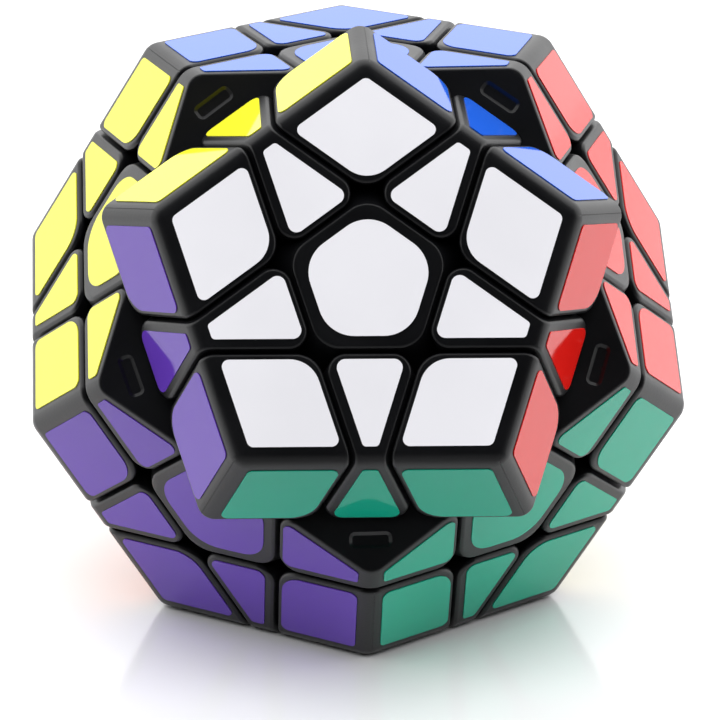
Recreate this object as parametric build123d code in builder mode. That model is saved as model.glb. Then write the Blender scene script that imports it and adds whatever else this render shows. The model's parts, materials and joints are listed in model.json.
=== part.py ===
from build123d import *
import os
from math import acos, cos, degrees, radians, sin, sqrt, tan

os.makedirs("parts", exist_ok=True)

# ---------------------------------------------------------------- driving dimensions (mm)
edge_len = 32.0                     # edge of the sharp-cornered dodecahedron
cut_depth = 0.427 * edge_len        # seam to parallel edge, measured in the plane of a face
turn_angle = -37.0                  # how far the front layer stands turned
gap = 0.15                          # each side of a seam, so neighbours are 0.3 apart

outer_round = 2.4                   # rounding of the outer edges
seam_round = 0.55                   # small rounding along every seam
corner_round = 3.9                  # inner corners of a corner piece
edge_round = 1.9                    # inner corners of an edge piece
centre_round = 4.1                  # corners of a centre pentagon

part_line = 0.14                    # width and depth of the line where a corner's shells meet
part_line_shift = 0.5               # from the crest of the edge that it runs along

sticker_thick = 0.12
sticker_seam_margin = 0.0388 * edge_len
sticker_edge_margin = 0.0575 * edge_len
centre_sticker_margin = 0.0482 * edge_len
centre_sticker_round = 4.4
corner_sticker_rounds = (3.75, 0.85)                # at the inner corner, at the others
edge_sticker_rounds = (1.05, 0.5)                   # at the inner corners, at the outer ones

foot_top = 32.2                     # sphere above which the seams are flat planes
foot_bottom = 28.2                  # sphere the feet slide on
foot_cone = 49.5                    # half angle of the cone a layer's feet fill
flange_bottom = 25.2                # underside of a centre's support flange
flange_angle = 30.9                 # half angle of the support flange

core_radius = 10.0
post_radius = 3.6
post_end = 15.0
stem_radius = 6.2
stem_start = 15.3
stem_length = 11.0                  # up into the flange
cavity_radius = 4.4
cavity_start = 18.3
cap_seam = 32.9                     # plane where a centre's cap sits on its base
plug_depth = 1.5                    # ring under the cap that fills the cavity's mouth
plug_wall = 1.17
screw_radius = 1.4
screw_hole = 1.7
screw_tip = 4.5
screw_head_radius = 2.9
screw_head_height = 2.2
screw_head_round = 0.6
screw_point = 0.5
cross_length = 3.6                  # cross recess in the screw's head
cross_width = 0.8
cross_depth = 1.3
washer_radius = 3.9
washer_thick = 0.5
spring_radius = 3.0
spring_wire = 0.35
spring_height = 5.0
spring_turns = 4
slide_gap = 0.05                    # between parts that rub in the centre's bore
wall = 1.8                          # wall of the hollow pieces
access_radius = 1.6                 # hole from the underside into a hollow piece
access_length = 7.2

mark_length = 5.3                   # moulded mark on the end faces of an edge piece
mark_width = 2.0
mark_round = 0.75
mark_depth = 0.3
mark_draft = 54.0                   # slope of the walls of the mark
mark_distance = 30.35               # from the axis of the layer

blank = 90.0                        # block that every outer piece is cut from
zone_start = 15.0                   # keeps the points of the cones out of the zones
on_mark = 1e-3                      # how near counts as equal, or as on a plane
level = 0.3                         # an edge that climbs less than this lies flat
upward = (Align.CENTER, Align.CENTER, Align.MIN)

# ---------------------------------------------------------------- dodecahedron relations
inradius = edge_len / 2 * sqrt((25 + 11 * sqrt(5)) / 10)
face_apothem = edge_len / (2 * tan(radians(36)))
axis_angle = degrees(acos(1 / sqrt(5)))             # between neighbouring face axes
edge_tilt = axis_angle / 2                          # face axis to middle of an edge
circumradius = edge_len * sqrt(3) * (1 + sqrt(5)) / 4
midradius = edge_len * (3 + sqrt(5)) / 4
corner_tilt = degrees(acos(inradius / circumradius))
edge_tilt_at_corner = degrees(acos(midradius / circumradius))
cut_height = inradius - cut_depth * sin(radians(axis_angle))
cut_apothem = face_apothem - cut_depth
core_height = inradius + sticker_thick              # core centre above the table

rim_depth = outer_round + 0.2                       # the rims lie within this of a face

centre_point = Vector(0, 0, core_height)


def polar(tilt, azimuth):
    """Unit vector leaning by tilt from +Z towards azimuth."""
    t = radians(tilt)
    a = radians(azimuth)
    return Vector(sin(t) * cos(a), sin(t) * sin(a), cos(t))


def plane_at(normal, distance):
    """Plane facing along normal, at a distance from the origin."""
    return Plane(origin=normal * distance, z_dir=normal)


def lies_on(edge, normal, distance):
    """True when an edge's start and middle are on the plane across normal."""
    return all(abs((edge @ t).dot(normal) - distance) < on_mark for t in (0, 0.5))


def reach(point, normals):
    """How far a point reaches along the normal that it reaches furthest along."""
    return max(point.dot(normal) for normal in normals)


# Face axes of the whole puzzle: one up, one down and two rings of five.
upper_ring = {"white": -90, "red": -18, "pink": 54, "lime": 126, "yellow": 198}
lower_ring = {"green": -54, "cream": 18, "gray": 90, "orange": 162, "purple": 234}
face_axes = {"blue": Vector(0, 0, 1), "light_blue": Vector(0, 0, -1)}
for colour, azimuth in upper_ring.items():
    face_axes[colour] = polar(axis_angle, azimuth)
for colour, azimuth in lower_ring.items():
    face_axes[colour] = polar(180 - axis_angle, azimuth)
colours = list(face_axes)

layer_faces = {"front": "white", "bottom": "light_blue", "back": "lime"}
front_axis = Axis((0, 0, 0), tuple(face_axes["white"]))


def are_neighbours(first, second):
    """True when two faces share an edge."""
    return abs(face_axes[first].dot(face_axes[second]) - 1 / sqrt(5)) < on_mark


def layer_of(faces):
    """The turning layer that holds a piece touching the given faces."""
    for layer, face in layer_faces.items():
        if face in faces:
            return layer
    return "body"


def placing(z_axis, x_hint, layer):
    """Location that carries a piece from the modelling frame to its seat."""
    z_axis = z_axis.normalized()
    x_axis = (x_hint - z_axis * x_hint.dot(z_axis)).normalized()
    if layer == "front":
        z_axis = z_axis.rotate(front_axis, turn_angle)
        x_axis = x_axis.rotate(front_axis, turn_angle)
    return Plane(origin=centre_point, x_dir=x_axis, z_dir=z_axis).location


# ---------------------------------------------------------------- where every piece sits
centre_seats = {"front": [], "bottom": [], "back": [], "body": []}
edge_seats = {"front": [], "bottom": [], "back": [], "body": []}
corner_seats = {"front": [], "bottom": [], "back": [], "body": []}
face_frames = {}
for i, one in enumerate(colours):
    ring = [other for other in colours if other != one and are_neighbours(one, other)]
    face_frames[one] = (face_axes[one], face_axes[ring[0]])
    seat = placing(face_axes[one], face_axes[ring[0]], layer_of([one]))
    centre_seats[layer_of([one])].append(seat)
    for two in colours[i + 1:]:
        if not are_neighbours(one, two):
            continue
        layer = layer_of([one, two])
        middle = face_axes[one] + face_axes[two]
        edge_seats[layer].append(placing(middle, face_axes[one] - face_axes[two], layer))
        for three in colours[colours.index(two) + 1:]:
            if are_neighbours(one, three) and are_neighbours(two, three):
                layer = layer_of([one, two, three])
                corner = middle + face_axes[three]
                facing = face_axes[layer_faces.get(layer, one)]
                corner_seats[layer].append(placing(corner, facing, layer))


def long_cone(direction, half_angle):
    """Cone with its point at the origin, longer than the puzzle is wide."""
    length = blank
    with BuildPart() as cone:
        with BuildSketch(Plane.XZ):
            with BuildLine():
                Polyline(
                    (0, 0),
                    (length * tan(radians(half_angle)), length),
                    (0, length),
                    close=True,
                )
            make_face()
        revolve(axis=Axis.Z)
    return Plane(origin=(0, 0, 0), z_dir=direction) * cone.part


open_angle = degrees(gap / foot_top)                # the gap seen as an angle
inner_cone = foot_cone - open_angle
outer_cone = foot_cone + open_angle

# ---------------------------------------------------------------- corner piece, vertex on +Z
corner_axes = [polar(corner_tilt, 120 * k) for k in range(3)]

# The shells of a corner meet in a fine line along the outer edge furthest from +X.
outer_edge = polar(edge_tilt_at_corner, 180)
crest = midradius - outer_round * (1 / cos(radians(axis_angle / 2)) - 1)
part_line_plane = Plane(
    origin=outer_edge * crest + Vector(0, part_line_shift, 0),
    x_dir=polar(edge_tilt_at_corner + 90, 180),
    z_dir=outer_edge,
)

with BuildPart() as corner_zone:
    with Locations((0, 0, zone_start)):
        Box(blank, blank, blank / 2, align=upward)
    for axis in corner_axes:
        add(long_cone(axis, inner_cone), mode=Mode.INTERSECT)

with BuildPart() as corner_cutter:
    Sphere(foot_top + gap)
    add(corner_zone.part, mode=Mode.SUBTRACT)

with BuildPart() as corner_hollow:
    Box(blank, blank, blank, align=upward)
    for axis in corner_axes:
        split(bisect_by=plane_at(axis, inradius - wall), keep=Keep.BOTTOM)
        split(bisect_by=plane_at(axis, cut_height + wall), keep=Keep.TOP)

with BuildPart() as corner_piece:
    Box(blank, blank, blank, align=upward)
    for axis in corner_axes:
        split(bisect_by=plane_at(axis, inradius), keep=Keep.BOTTOM)
        split(bisect_by=plane_at(axis, cut_height + gap), keep=Keep.TOP)
    by_distance = corner_piece.edges().sort_by(lambda e: (e @ 0.5).length)
    fillet(by_distance[-3:], radius=outer_round)
    inner = [
        e for e in corner_piece.edges().filter_by(GeomType.LINE)
        if sum(lies_on(e, axis, cut_height + gap) for axis in corner_axes) == 2
    ]
    fillet(inner, radius=corner_round)
    rim = [
        e for e in corner_piece.edges()
        if any(lies_on(e, axis, cut_height + gap) for axis in corner_axes)
        and reach(e @ 0.5, corner_axes) > inradius - rim_depth
    ]
    fillet(rim, radius=seam_round)
    Sphere(foot_top - gap)
    add(corner_cutter.part, mode=Mode.SUBTRACT)
    Sphere(foot_bottom + gap, mode=Mode.SUBTRACT)
    add(corner_hollow.part, mode=Mode.SUBTRACT)
    with Locations((0, 0, foot_bottom)):
        Cylinder(access_radius, access_length, mode=Mode.SUBTRACT)
    with Locations(part_line_plane):
        Box(edge_len, part_line, part_line * 2, mode=Mode.SUBTRACT)

# ---------------------------------------------------------------- edge piece, middle on +Z
edge_sides = [polar(edge_tilt, 0), polar(edge_tilt, 180)]
edge_ends = [polar(90 - edge_tilt, 90), polar(90 - edge_tilt, 270)]

with BuildPart() as edge_zone:
    with Locations((0, 0, zone_start)):
        Box(blank, blank, blank / 2, align=upward)
    for axis in edge_sides:
        add(long_cone(axis, inner_cone), mode=Mode.INTERSECT)
    for axis in edge_ends:
        add(long_cone(axis, outer_cone), mode=Mode.SUBTRACT)

with BuildPart() as edge_cutter:
    Sphere(foot_top + gap)
    add(edge_zone.part, mode=Mode.SUBTRACT)

with BuildPart() as edge_hollow:
    Box(blank, blank, blank, align=upward)
    for axis in edge_sides:
        split(bisect_by=plane_at(axis, inradius - wall), keep=Keep.BOTTOM)
        split(bisect_by=plane_at(axis, cut_height + wall), keep=Keep.TOP)
    for axis in edge_ends:
        split(bisect_by=plane_at(axis, cut_height - wall), keep=Keep.BOTTOM)
    Sphere(foot_top + wall, mode=Mode.SUBTRACT)

with BuildPart() as edge_piece:
    Box(blank, blank, blank, align=upward)
    for axis in edge_sides:
        split(bisect_by=plane_at(axis, inradius), keep=Keep.BOTTOM)
        split(bisect_by=plane_at(axis, cut_height + gap), keep=Keep.TOP)
    for axis in edge_ends:
        split(bisect_by=plane_at(axis, cut_height - gap), keep=Keep.BOTTOM)
    fillet(edge_piece.edges().filter_by(Axis.Y).sort_by(Axis.Z)[-1], radius=outer_round)
    inner = [
        e for e in edge_piece.edges().filter_by(GeomType.LINE)
        if any(lies_on(e, side, cut_height + gap) for side in edge_sides)
        and any(lies_on(e, end, cut_height - gap) for end in edge_ends)
    ]
    fillet(inner, radius=edge_round)
    rim = [
        e for e in edge_piece.edges()
        if reach(e @ 0.5, edge_sides) > inradius - outer_round / 2
        and min(reach(e @ 0, edge_sides), reach(e @ 1, edge_sides)) > inradius - rim_depth
        and e not in edge_piece.edges().filter_by(Axis.Y)
    ]
    side_rim = [
        e for e in edge_piece.edges().filter_by(Axis.Y)
        if any(lies_on(e, side, cut_height + gap) for side in edge_sides)
        and reach(e @ 0.5, edge_sides) > inradius - on_mark
    ]
    fillet(rim + side_rim, radius=seam_round)
    Sphere(foot_top - gap)
    add(edge_cutter.part, mode=Mode.SUBTRACT)
    Sphere(foot_bottom + gap, mode=Mode.SUBTRACT)
    add(edge_hollow.part, mode=Mode.SUBTRACT)
    with Locations((0, 0, foot_bottom)):
        Cylinder(access_radius, access_length, mode=Mode.SUBTRACT)
    for axis in edge_ends:
        outward = (Vector(0, 0, 1) - axis * axis.Z).normalized()
        mark_plane = Plane(
            origin=axis * (cut_height - gap) + outward * mark_distance,
            x_dir=(1, 0, 0),
            z_dir=axis,
        )
        with BuildSketch(mark_plane):
            RectangleRounded(mark_length, mark_width, mark_round)
        extrude(amount=-mark_depth, taper=mark_draft, mode=Mode.SUBTRACT)

# ---------------------------------------------------------------- centre piece, face axis +Z
centre_axes = [polar(axis_angle, 72 * k) for k in range(5)]

with BuildPart() as centre_zone:
    with Locations((0, 0, zone_start)):
        Box(blank, blank, blank / 2, align=upward)
    for axis in centre_axes:
        add(long_cone(axis, outer_cone), mode=Mode.SUBTRACT)

with BuildPart() as centre_cutter:
    Sphere(foot_top + gap)
    add(centre_zone.part, mode=Mode.SUBTRACT)

with BuildPart() as centre_head:
    with Locations((0, 0, flange_bottom - gap)):
        Box(blank, blank, blank / 2, align=upward)
    split(bisect_by=plane_at(Vector(0, 0, 1), inradius), keep=Keep.BOTTOM)
    for axis in centre_axes:
        split(bisect_by=plane_at(axis, cut_height - gap), keep=Keep.BOTTOM)
    upright = centre_head.edges().filter_by(lambda e: abs((e % 0.5).Z) > level)
    fillet(upright, radius=centre_round)
    fillet(centre_head.faces().sort_by(Axis.Z)[-1].edges(), radius=seam_round)
    add(centre_cutter.part, mode=Mode.SUBTRACT)

with BuildPart() as flange:
    Sphere(foot_bottom - gap)
    Sphere(flange_bottom, mode=Mode.SUBTRACT)
    add(long_cone(Vector(0, 0, 1), flange_angle), mode=Mode.INTERSECT)

with BuildPart() as centre_base:
    add(centre_head.part)
    split(bisect_by=Plane.XY.offset(cap_seam), keep=Keep.BOTTOM)
    add(flange.part)
    with Locations((0, 0, stem_start)):
        Cylinder(stem_radius, stem_length, align=upward)
    with Locations((0, 0, cavity_start)):
        Cylinder(cavity_radius, cap_seam, align=upward, mode=Mode.SUBTRACT)
    Cylinder(screw_hole, blank, mode=Mode.SUBTRACT)

with BuildPart() as centre_cap:
    add(centre_head.part)
    split(bisect_by=Plane.XY.offset(cap_seam), keep=Keep.TOP)
    with BuildSketch(Plane.XY.offset(cap_seam)):
        Circle(cavity_radius - slide_gap)
    extrude(amount=-plug_depth)
    with Locations((0, 0, cap_seam - plug_depth)):
        Cylinder(
            cavity_radius - slide_gap - plug_wall,
            plug_depth + wall / 2,
            align=upward,
            mode=Mode.SUBTRACT,
        )


# ---------------------------------------------------------------- core and hardware, axis +Z
with BuildPart() as core_post:
    Cylinder(post_radius, post_end, align=upward)

with BuildPart() as core_hole:
    with Locations((0, 0, screw_tip - screw_point)):
        Cylinder(screw_radius + slide_gap, post_end, align=upward)

core_seats = [placing(*face_frames[colour], "body") for colour in colours]

with BuildPart() as core:
    with Locations(centre_point):
        Sphere(core_radius)
    with Locations(*core_seats):
        add(core_post.part)
        add(core_hole.part, mode=Mode.SUBTRACT)

spring_start = cavity_start + slide_gap + spring_wire
washer_start = spring_start + spring_height + spring_wire + slide_gap
head_start = washer_start + washer_thick

with BuildPart() as spring:
    with BuildLine() as coil:
        Helix(
            pitch=spring_height / spring_turns,
            height=spring_height,
            radius=spring_radius,
            center=(0, 0, spring_start),
        )
    with BuildSketch(Plane(coil.line @ 0, z_dir=coil.line % 0)):
        Circle(spring_wire)
    sweep(path=coil.line, is_frenet=True)

with BuildPart() as washer:
    with BuildSketch(Plane.XY.offset(washer_start)):
        Circle(washer_radius)
        Circle(screw_radius + slide_gap, mode=Mode.SUBTRACT)
    extrude(amount=washer_thick)

with BuildPart() as screw:
    with Locations((0, 0, screw_tip)):
        Cylinder(screw_radius, head_start - screw_tip, align=upward)
    with Locations((0, 0, head_start)):
        Cylinder(screw_head_radius, screw_head_height, align=upward)
    fillet(screw.edges().sort_by(Axis.Z)[-1], radius=screw_head_round)
    chamfer(screw.edges().sort_by(Axis.Z)[0], length=screw_point)
    with BuildSketch(Plane.XY.offset(head_start + screw_head_height)):
        Rectangle(cross_length, cross_width)
        Rectangle(cross_width, cross_length)
    extrude(amount=-cross_depth, mode=Mode.SUBTRACT)

# ---------------------------------------------------------------- stickers, face axis +Z
face_plane = Plane.XY.offset(inradius)
near = cut_apothem + sticker_seam_margin            # the edges of the stickers, by how far
far = face_apothem - sticker_edge_margin            # they are from the middle of the face
side = cut_apothem - sticker_seam_margin
middle_apothem = cut_apothem - centre_sticker_margin


def meet(first_azimuth, first_distance, second_azimuth, second_distance):
    """Point where two lines, each at a distance from the face centre, cross."""
    a, b = radians(first_azimuth), radians(second_azimuth)
    scale = sin(b - a)
    return (
        (first_distance * sin(b) - second_distance * sin(a)) / scale,
        (second_distance * cos(a) - first_distance * cos(b)) / scale,
    )


with BuildPart() as centre_sticker:
    with BuildSketch(face_plane) as pentagon:
        RegularPolygon(middle_apothem, 5, major_radius=False, rotation=36)
        fillet(pentagon.vertices(), radius=centre_sticker_round)
    extrude(amount=sticker_thick)

with BuildPart() as edge_sticker:
    with BuildSketch(face_plane) as trapezoid:
        with BuildLine():
            Polyline(
                meet(0, near, 72, side),
                meet(0, far, 72, side),
                meet(0, far, -72, side),
                meet(0, near, -72, side),
                close=True,
            )
        make_face()
        fillet(trapezoid.vertices().sort_by(Axis.X)[:2], radius=edge_sticker_rounds[0])
        fillet(trapezoid.vertices().sort_by(Axis.X)[-2:], radius=edge_sticker_rounds[1])
    extrude(amount=sticker_thick)

with BuildPart() as corner_sticker:
    with BuildSketch(face_plane) as kite:
        with BuildLine():
            Polyline(
                meet(-36, near, 36, near),
                meet(-36, near, 36, far),
                meet(-36, far, 36, far),
                meet(-36, far, 36, near),
                close=True,
            )
        make_face()
        fillet(kite.vertices().sort_by(Axis.X)[1:], radius=corner_sticker_rounds[1])
        fillet(kite.vertices().sort_by(Axis.X)[0], radius=corner_sticker_rounds[0])
    extrude(amount=sticker_thick)


def sticker_layer(position):
    """The turning layer that a point on the outside belongs to."""
    for layer, face in layer_faces.items():
        if face_axes[face].dot(position) > cut_height:
            return layer
    return "body"


sticker_groups = {}
for colour in colours:
    z_axis, x_hint = face_frames[colour]
    x_axis = (x_hint - z_axis * x_hint.dot(z_axis)).normalized()
    y_axis = z_axis.cross(x_axis)
    spots = [(centre_sticker.part, 0, 0)]
    for k in range(5):
        spots.append((edge_sticker.part, 72 * k, (near + far) / 2))
        spots.append((corner_sticker.part, 72 * k + 36, (near + far) / 2))
    for shape, azimuth, distance in spots:
        a = radians(azimuth)
        outward = x_axis * cos(a) + y_axis * sin(a)
        layer = sticker_layer(z_axis * inradius + outward * distance)
        seat = placing(z_axis, outward, layer)
        sticker_groups.setdefault((layer, colour), []).append(seat * shape)


# ---------------------------------------------------------------- write every node
def write_node(label, shapes):
    """One STEP file that holds the given separate solids."""
    with BuildPart() as node:
        for shape in shapes:
            add(shape)
    node.part.label = label
    export_step(node.part, "parts/" + label + ".step")


write_node("core", [core.part])
for label, shape in (("screws", screw.part), ("springs", spring.part), ("washers", washer.part)):
    write_node(label, [seat * shape for seat in core_seats])
for layer in ("front", "bottom", "back", "body"):
    write_node(layer + "_centre_base", [seat * centre_base.part for seat in centre_seats[layer]])
    write_node(layer + "_centre_cap", [seat * centre_cap.part for seat in centre_seats[layer]])
    corners = [seat * corner_piece.part for seat in corner_seats[layer]]
    edges = [seat * edge_piece.part for seat in edge_seats[layer]]
    if layer == "front":
        for k in range(5):
            write_node("front_corner_" + str(k + 1), [corners[k]])
            write_node("front_edge_" + str(k + 1), [edges[k]])
    else:
        write_node(layer + "_corners", corners)
        write_node(layer + "_edges", edges)
for (layer, colour), shapes in sticker_groups.items():
    write_node(layer + "_stickers_" + colour, shapes)
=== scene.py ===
import json
import math

import bpy
from mathutils import Matrix, Vector

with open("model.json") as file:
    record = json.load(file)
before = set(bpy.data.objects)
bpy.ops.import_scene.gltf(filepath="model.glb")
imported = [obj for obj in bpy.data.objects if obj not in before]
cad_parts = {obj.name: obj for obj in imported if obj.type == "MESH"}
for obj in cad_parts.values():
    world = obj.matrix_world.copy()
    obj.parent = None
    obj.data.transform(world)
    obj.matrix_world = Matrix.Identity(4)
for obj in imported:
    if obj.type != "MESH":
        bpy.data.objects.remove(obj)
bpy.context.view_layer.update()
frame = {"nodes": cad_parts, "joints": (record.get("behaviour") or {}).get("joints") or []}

core_centre = Vector(frame["joints"][0]["pos_m"])       # where all the layers' axes cross

# The camera: where it stands round the core, and how it is aimed. Metres and degrees.
CAMERA_AZIMUTH = -3.28          # towards the puzzle's left
CAMERA_ELEVATION = 18.56
CAMERA_DISTANCE = 0.5151
CAMERA_LENS = 199.0             # mm
CAMERA_SENSOR = 36.0            # mm
CAMERA_CLIP = 0.01
CAMERA_ROLL = 0.25
AIM_RIGHT = 0.0008
AIM_UP = -0.0050

# The studio: a bright tent behind and beside, open and dim towards the camera and above it.
TENT_LIGHT = 1.65
DIM_LIGHT = 0.01
DIM_DIRECTION = (0.0, -0.90, 0.43)
DIM_STARTS = 0.23               # cosines of the angle from that direction
DIM_FULL = 0.46
KEY_ELEVATION = 74.0            # of the soft key light, above and a little in front
KEY_DISTANCE = 1.0
KEY_SIZE = 1.6
KEY_POWER = 21.5
FLOOR_SIZE = 12.0
FLOOR_DROP = 0.00005            # under the puzzle's lowest stickers
FLOOR_ROUGHNESS = 0.13
FLOOR_WHITE = (0.82, 0.82, 0.83)
FLOOR_WHITER = (0.84, 0.84, 0.85)
# painted shade: the grey that the floor's colour darkens to in front of the puzzle, standing in
# for the shade there
FLOOR_PAINTED_SHADE = (0.22, 0.22, 0.225)
FLOOR_WHITE_UNTIL_PAINTED_SHADE = -0.035         # the floor is white up to here, then a painted shade darkens its colour towards the front
FLOOR_PAINTED_SHADE_FULL_FROM = -0.09

WELD_WITHIN = 2e-6              # joins the rims of a CAD node's own faces
SHARP_ANGLE = 30.0              # edges that turn more than this stay crisp
FLAT_WEIGHT = 100               # large faces set the shading of their rims
PLASTIC_IOR = 1.48
VINYL_IOR = 1.5

# Colours of the vinyl, as linear light.
STICKER_COLOURS = {
    "white": (0.87, 0.865, 0.91),
    "yellow": (0.82, 0.81, 0.034),
    "blue": (0.016, 0.108, 0.62),
    "red": (0.78, 0.013, 0.009),
    "green": (0.008, 0.45, 0.29),
    "purple": (0.125, 0.044, 0.45),
    "light_blue": (0.16, 0.46, 0.80),
    "orange": (0.82, 0.19, 0.012),
    "cream": (0.82, 0.74, 0.38),
    "lime": (0.22, 0.56, 0.025),
    "pink": (0.80, 0.18, 0.34),
    "gray": (0.24, 0.25, 0.27),
}


# ---------------------------------------------------------------- material helpers
def new_material(name):
    """A new node material; returns it, its node tree and its Principled shader."""
    material = bpy.data.materials.new(name)
    material.use_nodes = True
    tree = material.node_tree
    shader = tree.nodes["Principled BSDF"]
    return material, tree, shader


def add_node(tree, kind, **inputs):
    """Adds a node and sets its inputs by name."""
    node = tree.nodes.new(kind)
    for key, value in inputs.items():
        node.inputs[key.replace("_", " ")].default_value = value
    return node


def noise(tree, coords, scale, detail=2.0, roughness=0.5):
    """A noise texture over the object's own coordinates."""
    node = add_node(tree, "ShaderNodeTexNoise", Scale=scale, Detail=detail, Roughness=roughness)
    tree.links.new(coords.outputs["Object"], node.inputs["Vector"])
    return node


def remap(tree, source, low, high, from_low=0.3, from_high=0.7):
    """Maps a texture's value onto a range."""
    node = tree.nodes.new("ShaderNodeMapRange")
    node.inputs["From Min"].default_value = from_low
    node.inputs["From Max"].default_value = from_high
    node.inputs["To Min"].default_value = low
    node.inputs["To Max"].default_value = high
    tree.links.new(source, node.inputs["Value"])
    return node.outputs["Result"]


def smooth_ramp(tree, source, starts, ends, low, high):
    """A smooth step from low to high as the source goes from starts to ends."""
    ramp = tree.nodes.new("ShaderNodeMapRange")
    ramp.interpolation_type = "SMOOTHSTEP"
    ramp.inputs["From Min"].default_value = starts
    ramp.inputs["From Max"].default_value = ends
    ramp.inputs["To Min"].default_value = low
    ramp.inputs["To Max"].default_value = high
    tree.links.new(source, ramp.inputs["Value"])
    return ramp.outputs["Result"]


def bump(tree, shader, height, distance, strength):
    """Feeds a height into the shader's normal."""
    node = add_node(tree, "ShaderNodeBump", Strength=strength, Distance=distance)
    tree.links.new(height, node.inputs["Height"])
    tree.links.new(node.outputs["Normal"], shader.inputs["Normal"])


def blend_colours(tree, factor, first, second):
    """A colour that runs from first to second with the factor; each is a colour or a socket."""
    node = tree.nodes.new("ShaderNodeMix")
    node.data_type = "RGBA"
    for slot, colour in (("A", first), ("B", second)):
        if isinstance(colour, bpy.types.NodeSocket):
            tree.links.new(colour, node.inputs[slot])
        else:
            node.inputs[slot].default_value = (*colour, 1)
    tree.links.new(factor, node.inputs["Factor"])
    return node.outputs["Result"]


# ---------------------------------------------------------------- materials
def moulded_plastic(name, base, roughness):
    """Satin black ABS: a fine moulded grain and slightly uneven sheen."""
    material, tree, shader = new_material(name)
    coords = tree.nodes.new("ShaderNodeTexCoord")
    cloud = noise(tree, coords, 90, 3)
    grain = noise(tree, coords, 2600, 2, 0.6)
    lighter = tuple(c * 1.5 for c in base)
    colour = blend_colours(tree, remap(tree, cloud.outputs["Fac"], 0, 1), base, lighter)
    tree.links.new(colour, shader.inputs["Base Color"])
    sheen = remap(tree, cloud.outputs["Fac"], roughness - 0.04, roughness + 0.05)
    tree.links.new(sheen, shader.inputs["Roughness"])
    shader.inputs["IOR"].default_value = PLASTIC_IOR
    bump(tree, shader, grain.outputs["Fac"], 0.00003, 0.35)
    return material


def vinyl(name, base):
    """Glossy coloured vinyl: a faint orange peel and a hair of unevenness in its colour."""
    material, tree, shader = new_material(name)
    coords = tree.nodes.new("ShaderNodeTexCoord")
    cloud = noise(tree, coords, 60, 2)
    peel = noise(tree, coords, 420, 2)
    darker = tuple(c * 0.94 for c in base)
    colour = blend_colours(tree, remap(tree, cloud.outputs["Fac"], 0, 1), darker, base)
    tree.links.new(colour, shader.inputs["Base Color"])
    gloss = remap(tree, cloud.outputs["Fac"], 0.04, 0.07)
    tree.links.new(gloss, shader.inputs["Roughness"])
    shader.inputs["IOR"].default_value = VINYL_IOR
    bump(tree, shader, peel.outputs["Fac"], 0.00002, 0.05)
    return material


def plated_steel(name):
    """Zinc plated steel with a fine brushed unevenness."""
    material, tree, shader = new_material(name)
    coords = tree.nodes.new("ShaderNodeTexCoord")
    streaks = noise(tree, coords, 900, 3)
    colour = blend_colours(
        tree, remap(tree, streaks.outputs["Fac"], 0, 1), (0.50, 0.50, 0.52), (0.66, 0.66, 0.67)
    )
    tree.links.new(colour, shader.inputs["Base Color"])
    shader.inputs["Metallic"].default_value = 1.0
    polish = remap(tree, streaks.outputs["Fac"], 0.22, 0.38)
    tree.links.new(polish, shader.inputs["Roughness"])
    bump(tree, shader, streaks.outputs["Fac"], 0.00002, 0.3)
    return material


black_plastic = moulded_plastic("black_plastic", (0.0035, 0.0036, 0.0042), 0.32)
core_plastic = moulded_plastic("core_plastic", (0.012, 0.012, 0.013), 0.48)
steel = plated_steel("steel")
stickers = {colour: vinyl("sticker_" + colour, base) for colour, base in STICKER_COLOURS.items()}


def material_for(node_name):
    """The material of a CAD node, by its name."""
    if "_stickers_" in node_name:
        return stickers[node_name.split("_stickers_")[1]]
    if node_name in ("screws", "springs", "washers"):
        return steel
    if node_name == "core":
        return core_plastic
    return black_plastic


def dress(node, material):
    """Gives a CAD node its material, smooth roundings, flat flats and crisp sharp edges."""
    node.data.materials.clear()
    node.data.materials.append(material)
    node.data.shade_smooth()
    weld = node.modifiers.new("weld", "WELD")
    weld.merge_threshold = WELD_WITHIN
    split = node.modifiers.new("split", "EDGE_SPLIT")
    split.split_angle = math.radians(SHARP_ANGLE)
    split.use_edge_sharp = False
    flats = node.modifiers.new("flats", "WEIGHTED_NORMAL")
    flats.weight = FLAT_WEIGHT
    flats.keep_sharp = True


for name, node in frame["nodes"].items():
    dress(node, material_for(name))


# ---------------------------------------------------------------- floor, light and camera
def make_floor():
    """A wide white sheet with a soft gloss, just under the puzzle, with a painted shade that
    darkens its colour in front of it.
    """
    bpy.ops.mesh.primitive_plane_add(size=FLOOR_SIZE, location=(0, 0, -FLOOR_DROP))
    floor = bpy.context.object
    floor.name = "floor"
    material, tree, shader = new_material("floor_white_with_painted_shade")
    coords = tree.nodes.new("ShaderNodeTexCoord")
    mottle = noise(tree, coords, 6)
    mottled = remap(tree, mottle.outputs["Fac"], 0, 1)
    white = blend_colours(tree, mottled, FLOOR_WHITE, FLOOR_WHITER)
    place = tree.nodes.new("ShaderNodeSeparateXYZ")
    tree.links.new(coords.outputs["Object"], place.inputs["Vector"])
    # painted shade: the floor's colour runs from white to grey towards the front, in place of
    # real shade
    clear_of_painted_shade = smooth_ramp(tree, place.outputs["Y"], FLOOR_PAINTED_SHADE_FULL_FROM, FLOOR_WHITE_UNTIL_PAINTED_SHADE, 0, 1)
    tree.links.new(blend_colours(tree, clear_of_painted_shade, FLOOR_PAINTED_SHADE, white), shader.inputs["Base Color"])
    shader.inputs["Roughness"].default_value = FLOOR_ROUGHNESS
    floor.data.materials.append(material)


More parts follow.
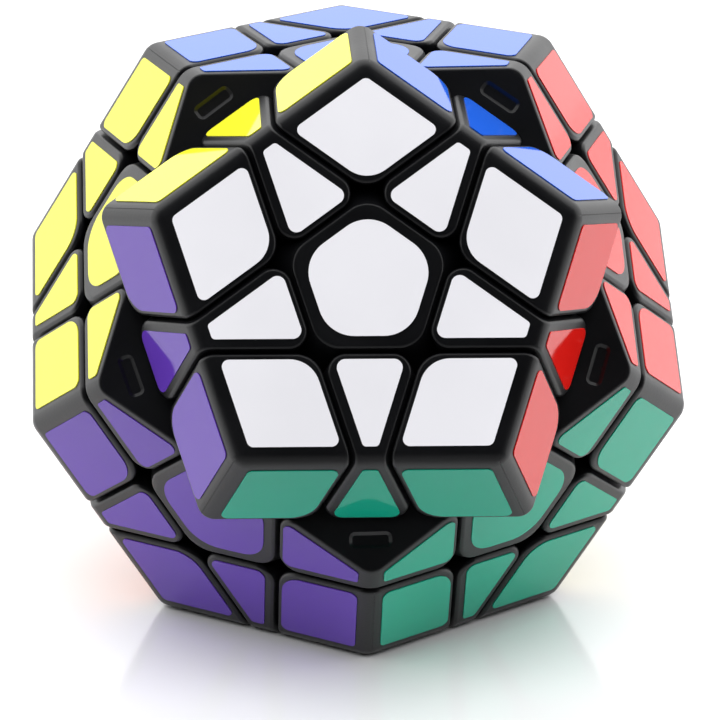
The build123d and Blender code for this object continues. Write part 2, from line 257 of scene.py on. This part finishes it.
def make_world():
    """A white tent as a world: its brightness depends only on the direction."""
    world = bpy.data.worlds.new("studio")
    world.use_nodes = True
    bpy.context.scene.world = world
    tree = world.node_tree
    background = tree.nodes["Background"]
    background.inputs["Color"].default_value = (1, 1, 1, 1)
    coords = tree.nodes.new("ShaderNodeTexCoord")
    facing = tree.nodes.new("ShaderNodeVectorMath")
    facing.operation = "DOT_PRODUCT"
    tree.links.new(coords.outputs["Generated"], facing.inputs[0])
    facing.inputs[1].default_value = DIM_DIRECTION
    tent = smooth_ramp(tree, facing.outputs["Value"], DIM_STARTS, DIM_FULL, TENT_LIGHT, DIM_LIGHT)
    tree.links.new(tent, background.inputs["Strength"])


def make_key_light():
    """A large square softbox aimed at the core, which does not show in the gloss."""
    light = bpy.data.lights.new("key", "AREA")
    light.shape = "SQUARE"
    light.size = KEY_SIZE
    light.energy = KEY_POWER
    tilt = math.radians(KEY_ELEVATION)
    toward_key = Vector((0, -math.cos(tilt), math.sin(tilt)))
    lamp = bpy.data.objects.new("key", light)
    lamp.location = core_centre + toward_key * KEY_DISTANCE
    lamp.rotation_euler = (-toward_key).to_track_quat("-Z", "Y").to_euler()
    lamp.visible_glossy = False
    bpy.context.scene.collection.objects.link(lamp)


def make_camera():
    """The camera, round the core by azimuth and elevation and aimed a little off it."""
    azimuth = math.radians(CAMERA_AZIMUTH)
    elevation = math.radians(CAMERA_ELEVATION)
    toward_camera = Vector((
        math.sin(azimuth) * math.cos(elevation),
        -math.cos(azimuth) * math.cos(elevation),
        math.sin(elevation),
    ))
    right = (-toward_camera).cross(Vector((0, 0, 1))).normalized()
    up = right.cross(-toward_camera)
    place = core_centre + toward_camera * CAMERA_DISTANCE
    aim = core_centre + right * AIM_RIGHT + up * AIM_UP
    toward = (aim - place).normalized()
    right = toward.cross(Vector((0, 0, 1))).normalized()
    up = right.cross(toward)
    roll = math.radians(CAMERA_ROLL)
    tilted_right = right * math.cos(roll) - up * math.sin(roll)
    tilted_up = up * math.cos(roll) + right * math.sin(roll)
    turn = Matrix((tilted_right, tilted_up, -toward)).transposed().to_4x4()
    data = bpy.data.cameras.new("camera")
    data.lens = CAMERA_LENS
    data.sensor_width = CAMERA_SENSOR
    data.clip_start = CAMERA_CLIP
    camera = bpy.data.objects.new("camera", data)
    camera.matrix_world = Matrix.Translation(place) @ turn
    bpy.context.scene.collection.objects.link(camera)
    bpy.context.scene.camera = camera


make_floor()
make_world()
make_key_light()
make_camera()
bpy.context.scene.view_settings.view_transform = "Standard"
